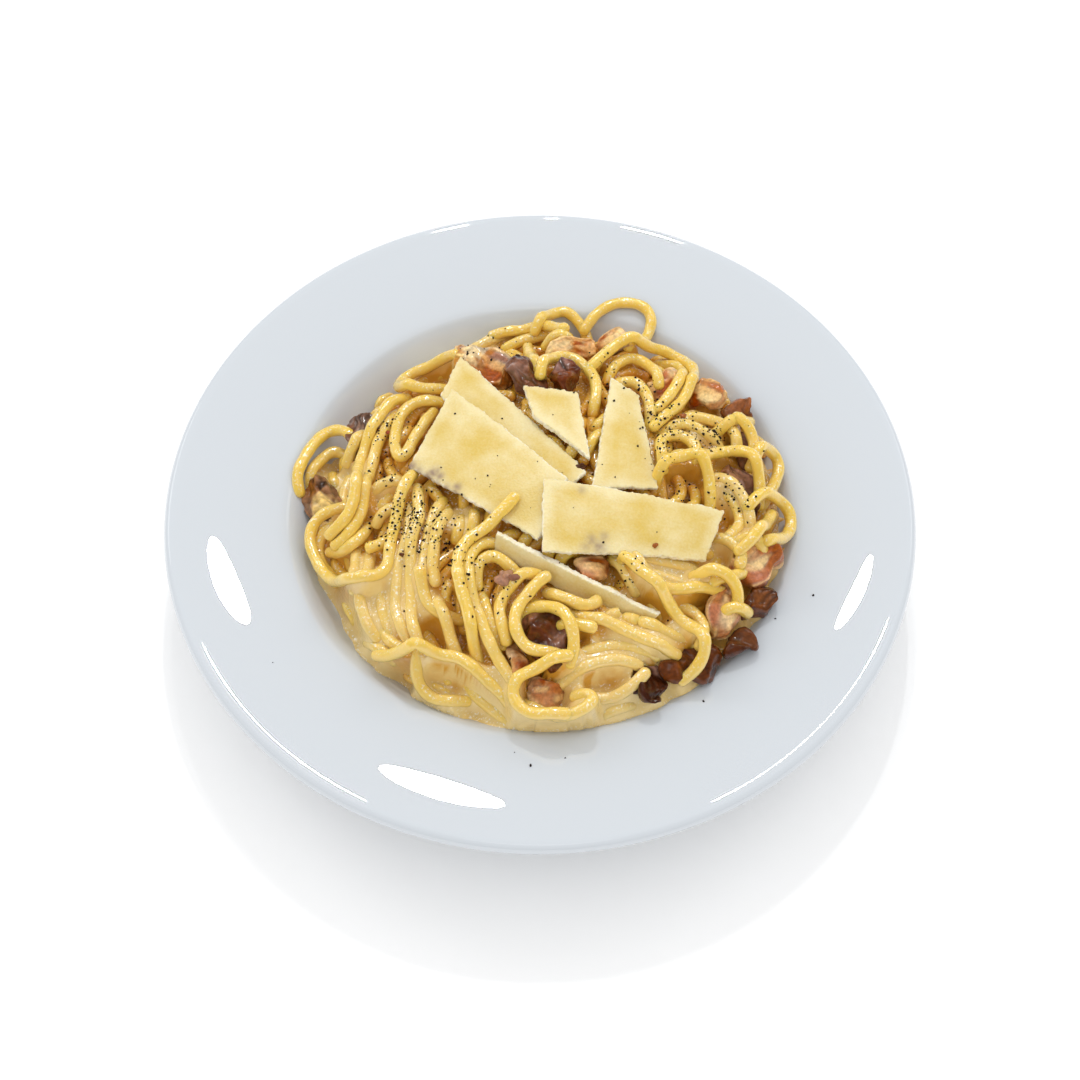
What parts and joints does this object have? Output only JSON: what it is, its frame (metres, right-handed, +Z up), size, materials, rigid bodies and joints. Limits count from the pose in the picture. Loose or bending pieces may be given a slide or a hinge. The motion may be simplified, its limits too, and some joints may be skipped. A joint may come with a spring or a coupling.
{
  "type": "plate of spaghetti carbonara",
  "caption": "Domed heap of creamy spaghetti with bacon lardons, mushroom slices, hard cheese shavings and ground pepper in a wide-rimmed round pasta plate.",
  "frame": {"origin": "centre of the foot ring's underside, on the surface that the plate stands on", "axes": "+Z up along the plate's axis, -Y towards the diner's side that the heap was dressed from, +X to that diner's right"},
  "size_m": [0.26, 0.26, 0.0616],
  "materials": {
    "porcelain": "gloss",
    "spaghetti": "satin",
    "sauce": "satin",
    "hard_cheese": "matte",
    "bacon": "satin",
    "mushroom": "satin",
    "pepper": "matte"
  },
  "bodies": {
    "root": {"plate": "porcelain", "pasta_heap": "spaghetti", "shaving_1": "hard_cheese", "shaving_2": "hard_cheese", "shaving_3": "hard_cheese", "shaving_4": "hard_cheese", "shaving_5": "hard_cheese", "shaving_6": "hard_cheese", "bacon_1": "bacon", "bacon_2": "bacon", "bacon_3": "bacon", "bacon_4": "bacon", "bacon_5": "bacon", "bacon_6": "bacon", "bacon_7": "bacon", "bacon_8": "bacon", "bacon_9": "bacon", "bacon_10": "bacon", "mushroom_1": "mushroom", "mushroom_2": "mushroom", "mushroom_3": "mushroom", "mushroom_4": "mushroom", "mushroom_5": "mushroom", "mushroom_6": "mushroom", "mushroom_7": "mushroom", "mushroom_8": "mushroom", "mushroom_9": "mushroom", "mushroom_10": "mushroom", "mushroom_11": "mushroom", "mushroom_12": "mushroom"}
  },
  "joints": []
}
